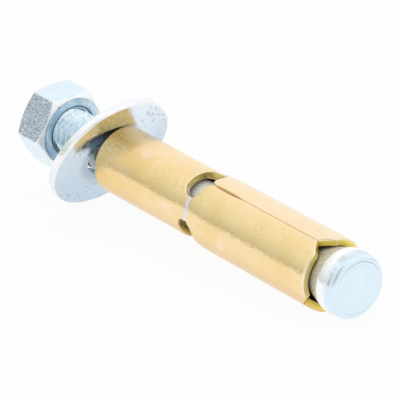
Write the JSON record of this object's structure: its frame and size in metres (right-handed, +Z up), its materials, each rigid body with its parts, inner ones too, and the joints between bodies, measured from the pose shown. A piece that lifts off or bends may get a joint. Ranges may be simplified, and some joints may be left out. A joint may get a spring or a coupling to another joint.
{
  "type": "sleeve anchor",
  "caption": "Sleeve expansion anchor: a cone-headed bolt in a slit steel sleeve with a wide washer and a hex nut. Turning the nut draws the cone into the sleeve's petals.",
  "frame": {"origin": "on the floor that the anchor lies on, below the middle of the bolt", "axes": "+X along the floor towards the bolt's head, +Z up; the bolt's axis dips a few degrees towards the head"},
  "size_m": [0.0823, 0.0236, 0.0213],
  "materials": {
    "bolt_zinc": "bright blue-white zinc plating",
    "sleeve_gold": "yellow passivated zinc plating, satin",
    "washer_zinc": "blue-white zinc plating, satin",
    "nut_zinc": "blue-white zinc plating, satin"
  },
  "bodies": {
    "sleeve_body": {"sleeve": "sleeve_gold"},
    "bolt_body": {"cone_bolt": "bolt_zinc"},
    "nut_body": {"hex_nut": "nut_zinc"},
    "washer_body": {"washer": "washer_zinc"}
  },
  "joints": [
    {"name": "bolt_draw", "type": "slide", "parent": "sleeve_body", "child": "bolt_body", "axis": [-0.9978, 0, 0.0667], "range_m": [-0.005, 0.00019]},
    {"name": "nut_turn", "type": "hinge", "parent": "sleeve_body", "child": "nut_body", "pos_m": [-0.03688, 0, 0.01151], "axis": [0.9978, 0, -0.0667], "range_deg": [-1441, 56]},
    {"name": "washer_slide", "type": "slide", "parent": "sleeve_body", "child": "washer_body", "axis": [-0.9978, 0, 0.0667], "range_m": [0, 0.0059]}
  ],
  "couplings": [
    {"joint": "nut_turn", "follows": "bolt_draw", "rad_per_m": 5026.5}
  ]
}
